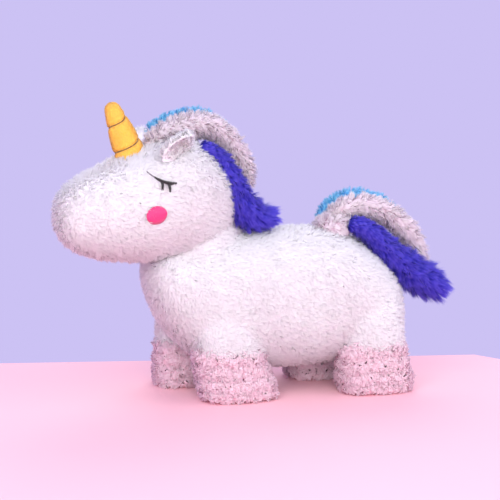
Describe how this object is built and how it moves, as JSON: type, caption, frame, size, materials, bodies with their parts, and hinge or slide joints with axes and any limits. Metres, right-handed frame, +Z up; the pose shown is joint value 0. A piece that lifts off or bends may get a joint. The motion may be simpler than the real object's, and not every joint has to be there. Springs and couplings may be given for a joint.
{
  "type": "plush unicorn",
  "caption": "Standing stuffed unicorn with a big turned head, gold horn, long pile mane and tail, and pink hoof cuffs; a soft toy to hold or display.",
  "frame": {"origin": "on the floor, under the middle of the toy's overall box", "axes": "+X from head to tail, +Y to the toy's right side, +Z up"},
  "size_m": [0.4047, 0.1345, 0.2857],
  "materials": {
    "white_plush": "short soft polyester plush",
    "ear_lining": "short soft polyester plush",
    "pink_pile": "curly teddy pile",
    "sole_fabric": "flat plush",
    "stuffing": "polyester fibre fill",
    "horn_gold": "smooth brushed fabric",
    "dark_thread": "embroidery thread",
    "white_thread": "sewing thread",
    "cheek_thread": "satin stitch embroidery",
    "long_pile_pink": "long combed pile",
    "long_pile_blue": "long combed pile",
    "long_pile_purple": "long combed pile",
    "tab_fabric": "woven tape"
  },
  "bodies": {
    "torso": {"torso_side_left": "white_plush", "torso_side_right": "white_plush", "belly_gusset": "white_plush", "torso_stuffing": "stuffing", "closing_stitch": "white_thread"},
    "neck": {"neck_cover": "white_plush", "neck_stuffing": "stuffing"},
    "head": {"head_side_left": "white_plush", "head_side_right": "white_plush", "forehead_gusset": "white_plush", "head_stuffing": "stuffing", "eye_left": "dark_thread", "eye_right": "dark_thread", "cheek_left": "cheek_thread", "cheek_right": "cheek_thread", "mane_pink": "long_pile_pink", "mane_blue": "long_pile_blue"},
    "horn": {"horn_cover": "horn_gold", "horn_stuffing": "stuffing", "horn_thread": "dark_thread"},
    "ear_left": {"ear_left_plush": "white_plush", "ear_left_lining": "ear_lining"},
    "ear_right": {"ear_right_plush": "white_plush", "ear_right_lining": "ear_lining"},
    "mane_lock": {"mane_purple": "long_pile_purple"},
    "tail_root": {"tail_tab": "tab_fabric"},
    "tail": {"tail_pink": "long_pile_pink", "tail_blue": "long_pile_blue", "tail_purple": "long_pile_purple"},
    "front_left_leg": {"front_left_leg_plush": "white_plush", "front_left_leg_stuffing": "stuffing", "front_left_hoof_cuff": "pink_pile", "front_left_sole": "sole_fabric"},
    "front_right_leg": {"front_right_leg_plush": "white_plush", "front_right_leg_stuffing": "stuffing", "front_right_hoof_cuff": "pink_pile", "front_right_sole": "sole_fabric"},
    "rear_left_leg": {"rear_left_leg_plush": "white_plush", "rear_left_leg_stuffing": "stuffing", "rear_left_hoof_cuff": "pink_pile", "rear_left_sole": "sole_fabric"},
    "rear_right_leg": {"rear_right_leg_plush": "white_plush", "rear_right_leg_stuffing": "stuffing", "rear_right_hoof_cuff": "pink_pile", "rear_right_sole": "sole_fabric"}
  },
  "joints": [
    {"name": "neck_turn", "type": "hinge", "parent": "torso", "child": "neck", "pos_m": [-0.0602, 0.0022, 0.15], "axis": [0, 0, 1], "range_deg": [-34, 6], "stiffness_Nm_per_rad": 0.8},
    {"name": "head_nod", "type": "hinge", "parent": "neck", "child": "head", "pos_m": [-0.0602, 0.0022, 0.15], "axis": [-0.2419, 0.9703, 0], "range_deg": [-10, 6], "stiffness_Nm_per_rad": 1.5},
    {"name": "horn_lean", "type": "hinge", "parent": "head", "child": "horn", "pos_m": [-0.12715, -0.01449, 0.2365], "axis": [-0.2419, 0.9703, 0], "range_deg": [-10, 10], "stiffness_Nm_per_rad": 0.05},
    {"name": "ear_left_fold", "type": "hinge", "parent": "head", "child": "ear_left", "pos_m": [-0.07988, -0.04702, 0.248], "axis": [-0.2419, 0.9703, 0], "range_deg": [-15, 20], "stiffness_Nm_per_rad": 0.02},
    {"name": "ear_right_fold", "type": "hinge", "parent": "head", "child": "ear_right", "pos_m": [-0.10068, 0.03642, 0.248], "axis": [-0.2419, 0.9703, 0], "range_deg": [-15, 20], "stiffness_Nm_per_rad": 0.02},
    {"name": "mane_lock_lift", "type": "hinge", "parent": "head", "child": "mane_lock", "pos_m": [-0.04517, -0.01673, 0.255], "axis": [0.2419, -0.9703, 0], "range_deg": [0, 25], "stiffness_Nm_per_rad": 0.05},
    {"name": "tail_swing", "type": "hinge", "parent": "torso", "child": "tail_root", "pos_m": [0.0858, 0.0022, 0.171], "axis": [0, 0, 1], "range_deg": [-20, 20], "stiffness_Nm_per_rad": 0.15},
    {"name": "tail_lift", "type": "hinge", "parent": "tail_root", "child": "tail", "pos_m": [0.0858, 0.0022, 0.174], "axis": [0, -1, 0], "range_deg": [-4, 30], "stiffness_Nm_per_rad": 0.3},
    {"name": "front_left_leg_swing", "type": "hinge", "parent": "torso", "child": "front_left_leg", "pos_m": [-0.0242, -0.0348, 0.078], "axis": [0, 1, 0], "range_deg": [-10, 10], "stiffness_Nm_per_rad": 3},
    {"name": "front_right_leg_swing", "type": "hinge", "parent": "torso", "child": "front_right_leg", "pos_m": [-0.0562, 0.0392, 0.078], "axis": [0, 1, 0], "range_deg": [-10, 10], "stiffness_Nm_per_rad": 3},
    {"name": "rear_left_leg_swing", "type": "hinge", "parent": "torso", "child": "rear_left_leg", "pos_m": [0.1138, -0.0348, 0.078], "axis": [0, 1, 0], "range_deg": [-10, 10], "stiffness_Nm_per_rad": 3},
    {"name": "rear_right_leg_swing", "type": "hinge", "parent": "torso", "child": "rear_right_leg", "pos_m": [0.0818, 0.0392, 0.078], "axis": [0, 1, 0], "range_deg": [-10, 10], "stiffness_Nm_per_rad": 3}
  ]
}
